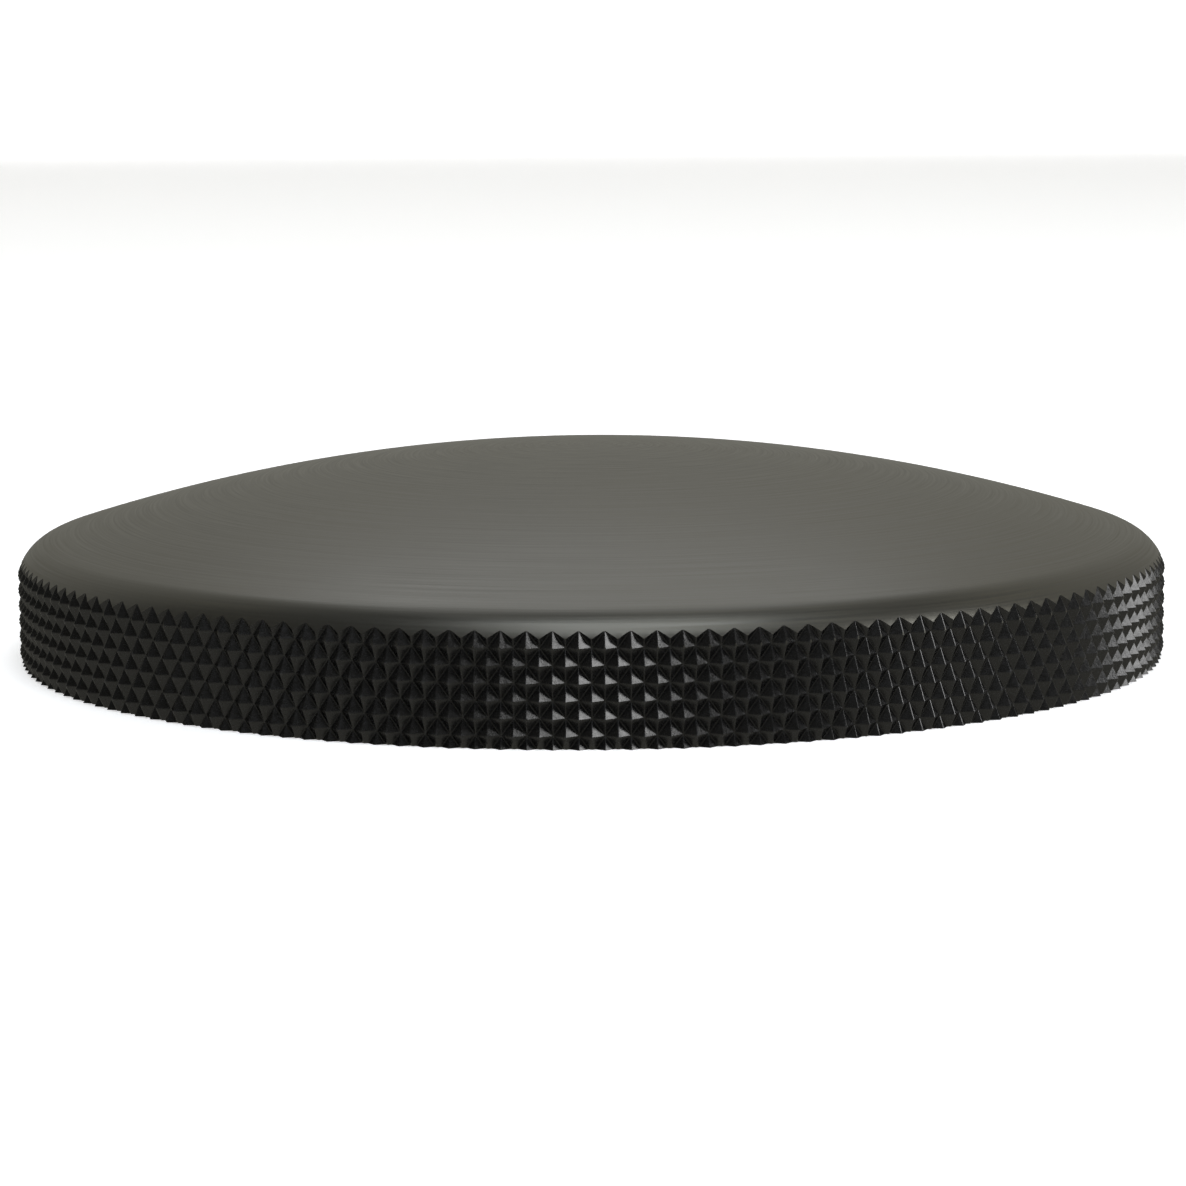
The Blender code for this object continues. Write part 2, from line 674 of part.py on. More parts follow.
def make_vent_valve(metals, cap):
    """The ball, its coil spring, the filter disc and the plug that holds them in the post's bore."""
    mesh = bpy.data.meshes.new("vent_ball")
    shape = bmesh.new()
    bmesh.ops.create_uvsphere(shape, u_segments=16, v_segments=10, radius=BALL_RADIUS)
    shape.to_mesh(mesh)
    shape.free()
    add_object("vent_ball", mesh, metals["steel"], cap, BALL_HEIGHT)

    coil_radius = VENT_BORE_RADIUS - SEAT_GAP - 2 * VENT_SPRING_WIRE_RADIUS
    reach = BALL_RADIUS + VENT_SPRING_WIRE_RADIUS + SEAT_GAP
    coil_top = BALL_HEIGHT - math.sqrt(reach**2 - coil_radius**2)
    steps = 12
    count = int(VENT_SPRING_TURNS * steps) + 1
    wire = bpy.data.curves.new("vent_spring", "CURVE")
    wire.dimensions = "3D"
    wire.bevel_depth = VENT_SPRING_WIRE_RADIUS
    wire.bevel_resolution = 2
    wire.use_fill_caps = True
    spline = wire.splines.new("POLY")
    spline.points.add(count - 1)
    for i, point in enumerate(spline.points):
        height = (coil_top - VENT_SPRING_BASE) * i / (count - 1)
        point.co = (*on_circle(coil_radius, math.tau * i / steps, height), 1.0)
    coil = bpy.data.objects.new("vent_spring", wire)
    wire.materials.append(metals["steel"])
    coil.location.z = VENT_SPRING_BASE
    cap.objects.link(coil)

    insert_radius = VENT_BORE_RADIUS - RUNNING_GAP
    disc = [(0.0, FILTER_THICKNESS), (insert_radius, FILTER_THICKNESS), (insert_radius, 0.0), (0.0, 0.0)]
    turned("vent_filter", disc, metals["bronze"], cap, FILTER_BASE, SCREW_SEGMENTS)
    washer(
        "vent_plug",
        VENT_HOLE_RADIUS,
        insert_radius,
        PLUG_THICKNESS,
        metals["brass"],
        cap,
        PLUG_BASE,
        SCREW_SEGMENTS,
    )


def make_o_ring(rubber, cap):
    """The O-ring in the post's groove."""
    radius = POST_RADIUS - RUNNING_GAP / 2 - O_RING_WIRE_RADIUS
    outline = [
        (radius + O_RING_WIRE_RADIUS * math.sin(a), O_RING_WIRE_RADIUS * math.cos(a))
        for a in round_the_axis(8)
    ]
    return turned("post_o_ring", outline, rubber, cap, O_RING_HEIGHT, SMALL_SEGMENTS)


def main():
    """Builds the whole cap."""
    cap, cutters = clear_scene()
    anodised = finish("black_anodised_aluminium", (0.045, 0.044, 0.040), 0.35, 1.0)
    rubber = finish("black_fuel_rubber", (0.02, 0.02, 0.02), 0.8, 0.0)
    plastic = finish("white_bearing_plastic", (0.85, 0.84, 0.80), 0.5, 0.0)
    metals = {
        "steel": finish("stainless_steel", (0.62, 0.61, 0.58), 0.3, 1.0),
        "plain": finish("plain_aluminium", (0.75, 0.76, 0.77), 0.35, 1.0),
        "brass": finish("brass", (0.72, 0.55, 0.27), 0.3, 1.0),
        "bronze": finish("sintered_bronze", (0.45, 0.30, 0.17), 0.7, 1.0),
    }
    make_shell(anodised, cap, cutters)
    make_lug_ring(metals["steel"], cap, cutters)
    make_screws(
        "ring_screw",
        RING_SCREW_COUNT,
        RING_SCREW_CIRCLE,
        RING_RECESS,
        RING_SCREW_LENGTH,
        metals["steel"],
        cap,
    )
    make_post(metals["brass"], cap, cutters)
    make_o_ring(rubber, cap)
    washer(
        "post_washer",
        POST_RADIUS + RUNNING_GAP,
        HUB_RADIUS,
        POST_WASHER_THICKNESS,
        plastic,
        cap,
        POST_WASHER_BASE,
        SMALL_SEGMENTS,
    )
    make_seal_unit(metals, rubber, cap, cutters)
    washer(
        "thrust_washer",
        WASHER_BORE_RADIUS,
        WASHER_RADIUS,
        WASHER_THICKNESS,
        plastic,
        cap,
        WASHER_BASE,
        SMALL_SEGMENTS,
    )
    make_wave_spring(metals["steel"], cap)
    make_vent_valve(metals, cap)


main()
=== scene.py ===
"""A domed filler cap with a diamond-knurled rim: its pieces, finishes, studio and camera."""

import logging
import math
from collections.abc import Callable, Sequence
from dataclasses import dataclass, field
from enum import Enum
from typing import Any

import bpy
from mathutils import Matrix, Vector


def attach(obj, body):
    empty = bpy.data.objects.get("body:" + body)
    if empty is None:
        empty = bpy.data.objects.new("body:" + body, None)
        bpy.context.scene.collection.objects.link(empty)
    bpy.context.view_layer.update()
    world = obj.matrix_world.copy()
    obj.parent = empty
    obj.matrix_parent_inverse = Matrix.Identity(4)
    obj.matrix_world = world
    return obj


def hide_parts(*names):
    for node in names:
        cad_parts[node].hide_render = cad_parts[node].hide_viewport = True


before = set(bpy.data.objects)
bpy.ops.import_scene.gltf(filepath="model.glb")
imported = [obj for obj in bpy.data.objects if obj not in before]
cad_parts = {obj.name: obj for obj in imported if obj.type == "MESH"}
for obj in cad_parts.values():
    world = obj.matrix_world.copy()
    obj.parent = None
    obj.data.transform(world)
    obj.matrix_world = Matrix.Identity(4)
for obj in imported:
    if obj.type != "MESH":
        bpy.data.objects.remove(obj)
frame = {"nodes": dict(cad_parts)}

LOG = logging.getLogger("filler_cap")
MM = 0.001

Point = tuple[float, float]
Value = Any


class Body(Enum):
    """The rigid bodies that the pieces ride on."""

    SHELL = "shell"
    THRUST_WASHER = "thrust_washer"
    SEAL_UNIT = "seal_unit"
    VENT_BALL = "vent_ball"


class Ends(Enum):
    """How a turned outline is closed."""

    RING = "ring"
    POLES = "poles"
    DISCS = "discs"


class Socket:
    """A shader value that can be used in Python expressions."""

    def __init__(self, shader: "Shader", output: bpy.types.NodeSocket) -> None:
        """Wraps an output socket.

        Args:
            shader: The shader that the socket's node belongs to.
            output: The output socket.
        """
        self.shader = shader
        self.output = output

    def _math(self, operation: str, *values: Value) -> "Socket":
        """A Math node on the values."""
        return self.shader.node("ShaderNodeMath", {"operation": operation}, dict(enumerate(values)))

    def __add__(self, other: Value) -> "Socket":
        """Sum."""
        return self._math("ADD", self, other)

    __radd__ = __add__

    def __mul__(self, other: Value) -> "Socket":
        """Product."""
        return self._math("MULTIPLY", self, other)

    __rmul__ = __mul__

    def __sub__(self, other: Value) -> "Socket":
        """Difference."""
        return self._math("SUBTRACT", self, other)

    def __rsub__(self, other: Value) -> "Socket":
        """Difference from a number."""
        return self._math("SUBTRACT", other, self)

    def step(self, low: float, high: float) -> "Socket":
        """A smooth rise from 0 at low to 1 at high."""
        settings = {"interpolation_type": "SMOOTHSTEP"}
        values = {"Value": self, "From Min": low, "From Max": high, "To Min": 0.0, "To Max": 1.0}
        return self.shader.node("ShaderNodeMapRange", settings, values)


class Shader:
    """A material under construction."""

    def __init__(self, name: str) -> None:
        """Makes an empty material with its Principled shader.

        Args:
            name: The material's name.
        """
        self.material = bpy.data.materials.new(name)
        self.material.use_nodes = True
        self.tree = self.material.node_tree
        self.principled = self.tree.nodes["Principled BSDF"]

    def node(
        self, kind: str, settings: dict[str, Any], values: dict[Any, Value], output: int | str = 0
    ) -> Socket:
        """Adds a node.

        Args:
            kind: The node's type.
            settings: What is set on the node before its sockets, such as a Math node's operation.
            values: Numbers, tuples or sockets for its inputs, by name or number.
            output: The output that is returned, by name or number.

        Returns:
            The output, wrapped.
        """
        made = self.tree.nodes.new(kind)
        for key, setting in settings.items():
            setattr(made, key, setting)
        for key, value in values.items():
            self._fill(made.inputs[key], value)
        return Socket(self, made.outputs[output])

    def _fill(self, target: bpy.types.NodeSocket, value: Value) -> None:
        """Links a socket to an input, or sets the input."""
        if isinstance(value, Socket):
            self.tree.links.new(value.output, target)
        else:
            target.default_value = value

    def mix(self, factor: Value, first: Value, second: Value) -> Socket:
        """A blend of two colours."""
        pair = {0: factor, 6: self._colour(first), 7: self._colour(second)}
        return self.node("ShaderNodeMix", {"data_type": "RGBA", "clamp_factor": True}, pair, 2)

    @staticmethod
    def _colour(value: Value) -> Value:
        """A colour with its alpha, or the socket as it is."""
        return value if isinstance(value, Socket) else (*value, 1.0)

    def place(self) -> tuple[Socket, Socket, Socket, Socket]:
        """Where a point is on the piece.

        Returns:
            The point itself, its distance from the Z axis, its height, and its direction from the axis.
        """
        point = self.node("ShaderNodeTexCoord", {}, {}, "Object")
        flat = self.node("ShaderNodeVectorMath", {"operation": "MULTIPLY"}, {0: point, 1: (1, 1, 0)})
        radius = self.node("ShaderNodeVectorMath", {"operation": "LENGTH"}, {0: flat}, "Value")
        direction = self.node("ShaderNodeVectorMath", {"operation": "NORMALIZE"}, {0: flat})
        height = self.node("ShaderNodeSeparateXYZ", {}, {0: point}, "Z")
        return point, radius, height, direction

    def noise(self, vector: Value, scale: float, detail: float = 2.0, rough: float = 0.5) -> Socket:
        """A noise value between 0 and 1 at a place."""
        values = {"Vector": vector, "Scale": scale, "Detail": detail, "Roughness": rough}
        return self.node("ShaderNodeTexNoise", {"normalize": True}, values, 0)

    def lathe_marks(self, across: Value, direction: Value, fineness: float, length: float) -> Socket:
        """Streaks that run round the Z axis, as a turning tool leaves them.

        Args:
            across: What grows from one streak to the next, in metres.
            direction: The direction from the axis.
            fineness: Streaks to the metre.
            length: How fast a streak changes along its own length.

        Returns:
            A value between 0 and 1.
        """
        along = self.node("ShaderNodeVectorMath", {"operation": "SCALE"}, {0: direction, 3: length})
        rise = self.node("ShaderNodeCombineXYZ", {}, {2: across * fineness})
        place = self.node("ShaderNodeVectorMath", {"operation": "ADD"}, {0: along, 1: rise})
        return self.noise(place, 1.0, 3.0, 0.6)

    def surface(self, **values: Value) -> None:
        """Sets the Principled shader's inputs, named with underscores for spaces."""
        for key, value in values.items():
            if isinstance(value, tuple) and len(value) == 3:
                value = (*value, 1.0)
            label = key.replace("_", " ").title().replace("Ior", "IOR")
            self._fill(self.principled.inputs[label], value)

    def bump(self, height: Value, depth: float) -> None:
        """Raises the surface by a height value times a depth in metres."""
        values = {"Height": height, "Distance": depth, "Strength": 1.0}
        self._fill(self.principled.inputs["Normal"], self.node("ShaderNodeBump", {}, values))


class SkyShader(Shader):
    """The world's background under construction."""

    def __init__(self, name: str) -> None:
        """Makes an empty world with its Background shader.

        Args:
            name: The world's name.
        """
        self.world = bpy.data.worlds.new(name)
        self.world.use_nodes = True
        self.tree = self.world.node_tree
        self.principled = self.tree.nodes["Background"]

    def aim(self) -> tuple[Socket, Socket, Socket]:
        """The direction of view, as X, Y and Z."""
        direction = self.node("ShaderNodeTexCoord", {}, {}, "Generated")
        split = self.node("ShaderNodeSeparateXYZ", {}, {0: direction})
        return tuple(Socket(self, output) for output in split.output.node.outputs)


@dataclass(frozen=True)
class AnodisedFinish:
    """Black anodised aluminium over a finely turned face."""

    name: str = "anodised_turned"
    dark: tuple[float, float, float] = (0.016, 0.0155, 0.0135)
    warm: tuple[float, float, float] = (0.030, 0.027, 0.019)
    roughness: float = 0.36
    ior: float = 1.6
    tint: tuple[float, float, float] = (1.0, 0.985, 0.87)
    marks: float = 5200.0
    mark_depth: float = 0.000005
    streak: float = 0.30
    mottle: float = 0.14

    def make(self) -> bpy.types.Material:
        """Builds the material."""
        shader = Shader(self.name)
        point, radius, height, direction = shader.place()
        across = radius - height
        marks = shader.lathe_marks(across, direction, self.marks, 2.2)
        cloud = shader.noise(point, 55.0, 3.0)
        colour = shader.mix(cloud.step(0.35, 0.7) * marks.step(0.3, 0.7), self.dark, self.warm)
        rough = self.roughness + (marks - 0.5) * self.streak + (cloud - 0.5) * self.mottle
        shader.surface(base_color=colour, roughness=rough, metallic=0.0, ior=self.ior)
        shader.surface(specular_tint=self.tint)
        shader.bump(marks, self.mark_depth)
        return shader.material


@dataclass(frozen=True)
class RolledFinish:
    """Black anodised aluminium as a knurling wheel leaves it."""

    name: str = "anodised_knurl"
    dark: tuple[float, float, float] = (0.004, 0.004, 0.0042)
    # Colour of the painted highlight on the tooth tips.
    crest_highlight: tuple[float, float, float] = (0.020, 0.020, 0.021)
    roughness: float = 0.27
    ior: float = 1.5
    crest: tuple[float, float] = (37.95 * MM, 38.1 * MM)
    grain_depth: float = 0.000014

    def make(self) -> bpy.types.Material:
        """Builds the material."""
        shader = Shader(self.name)
        point, radius, _, _ = shader.place()
        grain = shader.noise(point, 2600.0, 4.0, 0.65)
        crest = radius.step(*self.crest)
        # Painted highlight: the colour is lighter on the tooth tips, flecked by the grain.
        colour = shader.mix(crest * grain.step(0.4, 0.7), self.dark, self.crest_highlight)
        rough = self.roughness + (grain - 0.5) * 0.25
        shader.surface(base_color=colour, roughness=rough, metallic=0.0, ior=self.ior)
        shader.bump(grain, self.grain_depth)
        return shader.material


@dataclass(frozen=True)
class MetalFinish:
    """Bare turned metal."""

    name: str
    colour: tuple[float, float, float]
    roughness: float
    marks: float = 7000.0

    def make(self) -> bpy.types.Material:
        """Builds the material."""
        shader = Shader(self.name)
        point, radius, height, direction = shader.place()
        marks = shader.lathe_marks(radius - height, direction, self.marks, 2.0)
        stain = shader.noise(point, 180.0, 3.0)
        shade = tuple(channel * 0.82 for channel in self.colour)
        colour = shader.mix(stain.step(0.4, 0.75), self.colour, shade)
        rough = self.roughness + (marks - 0.5) * 0.16 + (stain - 0.5) * 0.08
        shader.surface(base_color=colour, roughness=rough, metallic=1.0)
        shader.bump(marks, 0.000001)
        return shader.material


@dataclass(frozen=True)
class GrainFinish:
    """A rubber, a plastic or a sintered metal, with a fine grain."""

    name: str
    colour: tuple[float, float, float]
    roughness: float
    metallic: float = 0.0
    grain: float = 2500.0
    depth: float = 0.00001

    def make(self) -> bpy.types.Material:
        """Builds the material."""
        shader = Shader(self.name)
        point, _, _, _ = shader.place()
        grain = shader.noise(point, self.grain, 4.0, 0.6)
        cloud = shader.noise(point, 120.0, 2.0)
        light = tuple(min(1.0, channel * 1.3 + 0.004) for channel in self.colour)
        colour = shader.mix(grain * 0.5 + cloud * 0.4, self.colour, light)
        rough = self.roughness + (cloud - 0.5) * 0.12
        shader.surface(base_color=colour, roughness=rough, metallic=self.metallic)
        shader.bump(grain, self.depth)
        return shader.material


class Bench:
    """Modelling steps that every piece shares."""

    @staticmethod
    def clear() -> None:
        """Leaves edit mode and deselects everything."""
        if bpy.context.object and bpy.context.object.mode != "OBJECT":
            bpy.ops.object.mode_set(mode="OBJECT")
        bpy.ops.object.select_all(action="DESELECT")

    @staticmethod
    def take(obj: bpy.types.Object) -> bpy.types.Object:
        """Makes an object the only one selected and the active one."""
        Bench.clear()
        obj.select_set(True)
        bpy.context.view_layer.objects.active = obj
        return obj

    @staticmethod
    def named(name: str) -> bpy.types.Object:
        """The object just added, under its own name."""
        obj = bpy.context.object
        obj.name = obj.data.name = name
        return obj

    @staticmethod
    def pick(obj: bpy.types.Object, kind: str, test: Callable[[Any], bool]) -> None:
        """Selects, in edit mode, the parts of a mesh that pass a test.

        Args:
            obj: The object, which is in edit mode.
            kind: "VERT", "EDGE" or "FACE".
            test: Says whether a vertex, edge or face is wanted.
        """
        bpy.ops.mesh.select_mode(type=kind)
        bpy.ops.mesh.select_all(action="DESELECT")
        bpy.ops.object.mode_set(mode="OBJECT")
        parts = {"VERT": obj.data.vertices, "EDGE": obj.data.edges, "FACE": obj.data.polygons}[kind]
        for part in parts:
            part.select = test(part)
        bpy.ops.object.mode_set(mode="EDIT")

    @staticmethod
    def turned(name: str, outline: Sequence[Point], segments: int, ends: Ends) -> bpy.types.Object:
        """A turned piece: a circle that is extruded and scaled along its outline.

        Args:
            name: The piece's name.
            outline: (radius, height) of each edge. With poles or discs it runs up the outside.
            segments: Facets round the axis.
            ends: How the outline is closed.

        Returns:
            The piece, a closed mesh.
        """
        Bench.clear()
        radius, height = outline[0]
        bpy.ops.mesh.primitive_circle_add(vertices=segments, radius=radius, location=(0, 0, height))
        obj = Bench.named(name)
        bpy.ops.object.transform_apply(location=True, rotation=True, scale=True)
        bpy.ops.object.mode_set(mode="EDIT")
        bpy.ops.mesh.select_mode(type="EDGE")
        bpy.ops.mesh.select_all(action="SELECT")
        if ends is not Ends.RING:
            bpy.ops.mesh.duplicate()
            bpy.ops.mesh.edge_face_add()
            Bench.pick(obj, "EDGE", lambda edge: edge.index < segments)
        for next_radius, next_height in outline[1:]:
            bpy.ops.mesh.extrude_region_move(
                TRANSFORM_OT_translate={"value": (0, 0, next_height - height)}
            )
            factor = next_radius / radius
            bpy.ops.transform.resize(value=(factor, factor, 1), center_override=(0, 0, next_height))
            radius, height = next_radius, next_height
        if ends is Ends.RING:
            bpy.ops.mesh.select_all(action="DESELECT")
            bpy.ops.mesh.select_non_manifold()
            bpy.ops.mesh.bridge_edge_loops()
        elif ends is Ends.POLES:
            bpy.ops.mesh.merge(type="CENTER")
        else:
            bpy.ops.mesh.edge_face_add()
        Bench.close(obj)
        return obj

    @staticmethod
    def close(obj: bpy.types.Object) -> None:
        """Merges an object's doubles, turns its faces outwards and leaves edit mode."""
        if bpy.context.object.mode != "EDIT":
            Bench.take(obj)
            bpy.ops.object.mode_set(mode="EDIT")
        bpy.ops.mesh.select_all(action="SELECT")
        bpy.ops.mesh.remove_doubles(threshold=0.0000005)
        bpy.ops.mesh.normals_make_consistent(inside=False)
        bpy.ops.object.mode_set(mode="OBJECT")

    @staticmethod
    def modify(obj: bpy.types.Object, kind: str, **settings: Any) -> None:
        """Adds a modifier to an object and applies it.

        Args:
            obj: The object.
            kind: The modifier's type.
            **settings: Its settings.
        """
        Bench.take(obj)
        modifier = obj.modifiers.new(kind.lower(), kind)
        for key, value in settings.items():
            setattr(modifier, key, value)
        bpy.ops.object.modifier_apply(modifier=modifier.name)

    @staticmethod
    def cut(obj: bpy.types.Object, tool: bpy.types.Object, operation: str = "DIFFERENCE") -> None:
        """Applies a Boolean with another object, which is then thrown away."""
        Bench.modify(
            obj, "BOOLEAN", object=tool, operation=operation, solver="EXACT", material_mode="TRANSFER"
        )
        bpy.data.objects.remove(tool)

    @staticmethod
    def smooth(obj: bpy.types.Object, degrees: float = 30.0) -> None:
        """Shades an object smooth, apart from its edges."""
        Bench.take(obj)
        bpy.ops.object.shade_smooth_by_angle(angle=math.radians(degrees))

    @staticmethod
    def arc(center: Point, radius: float, start: float, end: float, steps: int) -> list[Point]:
        """Points of an arc in the outline's plane, its angles in degrees above the outward direction."""
        angles = [math.radians(start + (end - start) * i / steps) for i in range(steps + 1)]
        return [(center[0] + radius * math.cos(a), center[1] + radius * math.sin(a)) for a in angles]

    @staticmethod
    def place(obj: bpy.types.Object, body: Body, slot: str, *nodes: str) -> bpy.types.Object:
        """Puts a finished piece on its body and hides the CAD nodes that it stands for.

        Args:
            obj: The piece.
            body: The body that it rides on.
            slot: Not used.
            *nodes: The CAD nodes that it stands for.

        Returns:
            The piece.
        """
        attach(obj, body.value)
        if nodes:
            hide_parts(*nodes)
        LOG.info("%s: %d faces on %s", obj.name, len(obj.data.polygons), body.value)
        return obj


@dataclass
class DomedShell:
    """The shell: a shallow dome, a round shoulder and an upright rim rolled with a diamond knurl."""

    radius: float = 38.1 * MM
    height: float = 13.5 * MM
    shoulder_start: float = 5.0 * MM
    shoulder_radius: float = 3.05 * MM
    margin: float = 0.06 * MM
    teeth: int = 160
    diamond: float = 2.02 * MM
    depth: float = 0.5 * MM
    phase: float = -0.26 * MM
    groove_flat: float = 0.022 * MM
    ridge_round: float = 0.025 * MM
    segments: int = 320
    pockets: list[Point] = field(
        default_factory=lambda: [
            (35.5 * MM, -1.0 * MM),
            (35.5 * MM, 2.2 * MM),
            (29.5 * MM, 2.2 * MM),
            (29.5 * MM, 6.0 * MM),
            (28.2 * MM, 6.0 * MM),
            (28.2 * MM, 7.7 * MM),
            (19.0 * MM, 7.7 * MM),
            (19.0 * MM, 9.6 * MM),
            (7.5 * MM, 9.6 * MM),
            (7.5 * MM, 8.2 * MM),
            (4.2 * MM, 8.2 * MM),
            (4.2 * MM, 11.4 * MM),
        ]
    )

    def outline(self) -> list[Point]:
        """The blank's outside, from the rim's foot up to just beside the dome's top."""
        blank = self.radius + self.margin
        center = (blank - self.shoulder_radius, self.shoulder_start)
        rise = self.height - self.shoulder_start
        dome = (rise**2 + center[0] ** 2 - self.shoulder_radius**2) / (
            2 * (rise - self.shoulder_radius)
        )
        dome_center = (0.0, self.height - dome)
        meeting = math.degrees(math.atan2(center[1] - dome_center[1], center[0]))
        shoulder = Bench.arc(center, self.shoulder_radius, 0.0, meeting, 24)
        crown = Bench.arc(dome_center, dome, meeting, 89.95, 40)
        return [(blank, 0.0), *shoulder, *crown[1:]]

    def tile(self) -> bpy.types.Object:
        """One tooth of the knurl, laid flat: a four-sided point with a narrow flat round it."""
        Bench.clear()
        bpy.ops.mesh.primitive_circle_add(vertices=4, radius=0.5, fill_type="NGON")
        obj = Bench.named("knurl_tooth")
        pitch = math.tau * self.radius / self.teeth
        bpy.ops.object.mode_set(mode="EDIT")
        bpy.ops.mesh.select_all(action="SELECT")
        bpy.ops.transform.resize(value=(pitch, self.diamond, 1.0))
        bpy.ops.mesh.inset(thickness=self.groove_flat, use_even_offset=True)
        bpy.ops.mesh.poke(offset=self.depth)
        halfway = self.depth / 2
        Bench.pick(
            obj, "EDGE", lambda edge: any(obj.data.vertices[i].co.z > halfway for i in edge.vertices)
        )
        bpy.ops.mesh.bevel(offset=self.ridge_round, segments=1)
        bpy.ops.object.mode_set(mode="OBJECT")
        return obj

    def knurl(self) -> bpy.types.Object:
        """A solid cylinder whose side is the whole knurl, higher and lower than the rim."""
        pitch = math.tau * self.radius / self.teeth
        tooth = self.tile()
        second = tooth.copy()
        second.data = tooth.data.copy()
        bpy.context.scene.collection.objects.link(second)
        second.location = (pitch / 2, self.diamond / 2, 0)
        Bench.take(tooth)
        second.select_set(True)
        bpy.ops.object.join()
        rows = math.ceil((self.shoulder_start + self.shoulder_radius) / self.diamond) + 2
        for count, offset in ((self.teeth, (pitch, 0, 0)), (rows, (0, self.diamond, 0))):
            Bench.modify(
                tooth,
                "ARRAY",
                count=count,
                use_relative_offset=False,
                use_constant_offset=True,
                constant_offset_displace=offset,
                use_merge_vertices=True,
                merge_threshold=0.000001,
            )
        lift = self.phase - 1.5 * self.diamond
        for vert in tooth.data.vertices:
            angle = vert.co.x / self.radius
            radius = self.radius - self.depth + vert.co.z
            vert.co = (radius * math.sin(angle), -radius * math.cos(angle), vert.co.y + lift)
        Bench.take(tooth)
        bpy.ops.object.mode_set(mode="EDIT")
        bpy.ops.mesh.select_all(action="SELECT")
        bpy.ops.mesh.remove_doubles(threshold=0.000002)
        middle = self.shoulder_start / 2
        for above, level in ((True, self.height + 1.0 * MM), (False, -3 * self.diamond)):
            bpy.ops.mesh.select_mode(type="EDGE")
            bpy.ops.mesh.select_all(action="DESELECT")
            bpy.ops.mesh.select_non_manifold()
            self._keep_side(tooth, middle, above)
            bpy.ops.mesh.extrude_region_move(TRANSFORM_OT_translate={"value": (0, 0, 0)})
            bpy.ops.transform.resize(value=(1, 1, 0), center_override=(0, 0, level))
            bpy.ops.mesh.edge_face_add()
        Bench.close(tooth)
        tooth.data.materials.append(RolledFinish().make())
        return tooth

    @staticmethod
    def _keep_side(obj: bpy.types.Object, middle: float, above: bool) -> None:
        """Deselects the edges on the other side of the middle height."""
        bpy.ops.object.mode_set(mode="OBJECT")
        for edge in obj.data.edges:
            if edge.select and (obj.data.vertices[edge.vertices[0]].co.z > middle) is not above:
                edge.select = False
        for vert in obj.data.vertices:
            if vert.select and (vert.co.z > middle) is not above:
                vert.select = False
        bpy.ops.object.mode_set(mode="EDIT")

    def build(self) -> bpy.types.Object:
        """Models the shell and dresses it."""
        shell = Bench.turned("domed_shell", self.outline(), self.segments, Ends.POLES)
        shell.data.materials.append(AnodisedFinish().make())
        Bench.cut(shell, self.knurl(), "INTERSECT")
        Bench.cut(shell, Bench.turned("pockets", self.pockets, 128, Ends.DISCS))
        Bench.smooth(shell, 18.0)
        return Bench.place(shell, Body.SHELL, "anodised_shell", "cap_shell")


@dataclass
class HiddenWorks:
    """The pieces under the dome, which keep their shapes and get finishes."""

    finishes: dict[str, MetalFinish | GrainFinish] = field(
        default_factory=lambda: {
            "lug_ring": MetalFinish("turned_steel", (0.56, 0.55, 0.53), 0.30),
            "ring_screw": MetalFinish("screw_steel", (0.50, 0.50, 0.49), 0.28),
            "retainer_screw": MetalFinish("retainer_screw_steel", (0.50, 0.50, 0.49), 0.28),
            "centre_post": MetalFinish("turned_brass", (0.72, 0.52, 0.24), 0.26),
            "vent_plug": MetalFinish("plug_brass", (0.70, 0.50, 0.23), 0.30),
            "seal_carrier": MetalFinish("pressed_steel", (0.53, 0.53, 0.52), 0.38, 3500.0),
            "seal_retainer": MetalFinish("turned_aluminium", (0.74, 0.74, 0.73), 0.32),
            "wave_spring": MetalFinish("spring_strip", (0.44, 0.42, 0.38), 0.30, 3000.0),
            "vent_spring": MetalFinish("spring_wire", (0.46, 0.45, 0.43), 0.24, 12000.0),
            "vent_ball": MetalFinish("polished_ball", (0.62, 0.62, 0.61), 0.10),
            "vent_filter": GrainFinish(
                "sintered_bronze", (0.42, 0.28, 0.14), 0.55, 1.0, 5200.0, 0.00004
            ),
            "neck_seal": GrainFinish("seal_rubber_black", (0.020, 0.020, 0.021), 0.62),
            "post_o_ring": GrainFinish("o_ring_rubber_black", (0.018, 0.018, 0.019), 0.48),
            "thrust_washer": GrainFinish("washer_plastic", (0.72, 0.70, 0.63), 0.42),
            "post_washer": GrainFinish("post_washer_plastic_white", (0.74, 0.73, 0.69), 0.42),
        }
    )

    def build(self) -> None:
        """Dresses every node that stays as it is."""
        for start, finish in self.finishes.items():
            material = finish.make()
            nodes = [node for name, node in frame["nodes"].items() if name.startswith(start)]
            for node in nodes:
                for slot in node.material_slots:
                    slot.material = material
            LOG.info("%s: %s on %d nodes", finish.name, start, len(nodes))


@dataclass(frozen=True)
class SoftBox:
    """A square lamp that faces the cap."""

    name: str
    direction: tuple[float, float, float]
    distance: float
    size: float
    radiance: float
    colour: tuple[float, float, float] = (1.0, 1.0, 1.0)

    def hang(self) -> None:
        """Hangs the lamp."""
        place = Vector(self.direction).normalized() * self.distance
        bpy.ops.object.light_add(type="AREA", location=place)
        lamp = bpy.context.object
        lamp.name = self.name
        lamp.rotation_euler = place.to_track_quat("Z", "Y").to_euler()
        lamp.data.shape = "SQUARE"
        lamp.data.size = self.size
        lamp.data.energy = self.radiance * math.pi * self.size**2
        lamp.data.color = self.colour


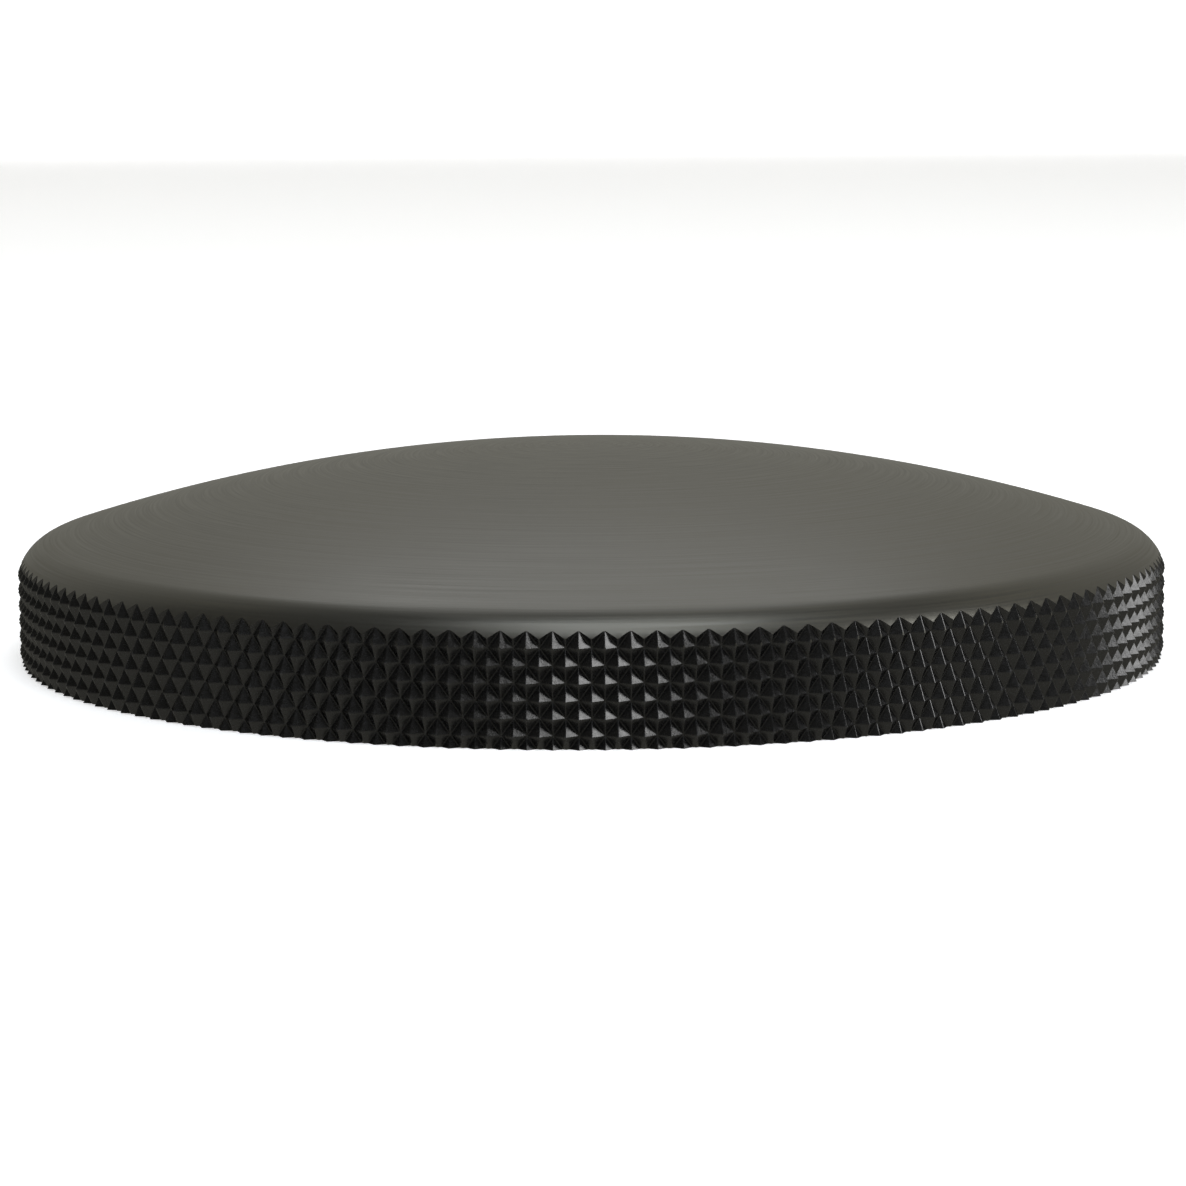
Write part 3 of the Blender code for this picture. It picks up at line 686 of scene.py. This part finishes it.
@dataclass
class Studio:
    """A pale floor and backdrop, lamps and the camera."""

    floor_size: float = 4.0
    floor_glow: float = 0.5
    backdrop_height: float = 0.5
    dim_sky: float = 0.10
    horizon_sky: float = 0.36
    high_sky: float = 0.14
    under_sky: float = 0.46
    sky_tint: tuple[float, float, float] = (1.0, 0.975, 0.85)
    elevation: float = 0.1465
    distance: float = 228.6 * MM
    focal: float = 3393.0
    frame: float = 1186.0
    roll: float = 0.0067
    target: tuple[float, float, float] = (0.1 * MM, 0.0, 3.39 * MM)
    lamps: tuple[SoftBox, ...] = (
        SoftBox("key_lamp", (0.84, -0.27, 0.48), 0.6, 0.20, 9.0),
        SoftBox("top_lamp", (0.08, -0.36, 0.93), 0.9, 0.50, 6.0, (0.90, 0.94, 1.0)),
        SoftBox("back_lamp", (0.0, 0.60, 0.80), 1.6, 0.9, 1.3, (0.96, 0.97, 1.0)),
    )

    @staticmethod
    def card(name: str, glow: float) -> bpy.types.Object:
        """Dresses the plane just added in white that glows a little, and keeps it out of the model."""
        card = Bench.named(name)
        shader = Shader(f"{name}_white")
        shader.surface(base_color=(0.9, 0.9, 0.9), roughness=0.9)
        shader.surface(emission_color=(1.0, 1.0, 1.0), emission_strength=glow)
        card.data.materials.append(shader.material)
        card.visible_glossy = False
        return card

    def set(self) -> None:
        """The floor and the backdrop behind it."""
        Bench.clear()
        bpy.ops.mesh.primitive_plane_add(size=self.floor_size, location=(0, 0, -0.00002))
        self.card("studio_floor", self.floor_glow)
        Bench.clear()
        far = (0, self.floor_size / 2, self.backdrop_height / 2)
        bpy.ops.mesh.primitive_plane_add(size=1, location=far, rotation=(math.pi / 2, 0, 0))
        bpy.context.object.scale = (self.floor_size, self.backdrop_height, 1)
        bpy.ops.object.transform_apply(location=True, rotation=True, scale=True)
        self.card("studio_backdrop", 1.0)

    def light(self) -> None:
        """The dim sky and the lamps."""
        sky = SkyShader("studio_sky")
        _, ahead, rise = sky.aim()
        behind = ahead.step(0.1, 0.5)
        high = rise.step(0.15, 0.5) * (1.0 - rise.step(0.6, 0.85))
        above = self.dim_sky + behind * (self.horizon_sky - self.dim_sky + high * self.high_sky)
        below = 1.0 - rise.step(-0.12, -0.02)
        sky.surface(color=self.sky_tint, strength=above + below * (self.under_sky - above))
        bpy.context.scene.world = sky.world
        bpy.context.scene.view_settings.view_transform = "Standard"
        for lamp in self.lamps:
            lamp.hang()

    def camera(self) -> None:
        """The camera, a little above the rim and rolled very slightly."""
        back = Vector((0, -math.cos(self.elevation), math.sin(self.elevation)))
        right = Vector((1, 0, 0))
        up = back.cross(right)
        turn = Matrix((right, up, back)).transposed() @ Matrix.Rotation(-self.roll, 3, "Z")
        bpy.ops.object.camera_add(location=Vector(self.target) + back * self.distance)
        camera = bpy.context.object
        camera.rotation_euler = turn.to_euler()
        camera.data.sensor_width = 36.0
        camera.data.lens = self.focal / self.frame * camera.data.sensor_width
        camera.data.clip_start = 0.01
        bpy.context.scene.camera = camera

    def build(self) -> None:
        """Sets up floor, light and camera."""
        self.set()
        self.light()
        self.camera()


def main() -> None:
    """Builds every piece and the studio."""
    logging.basicConfig(level=logging.INFO, format="%(message)s")
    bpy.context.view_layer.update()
    DomedShell().build()
    HiddenWorks().build()
    Studio().build()


if __name__ == "__main__":
    main()
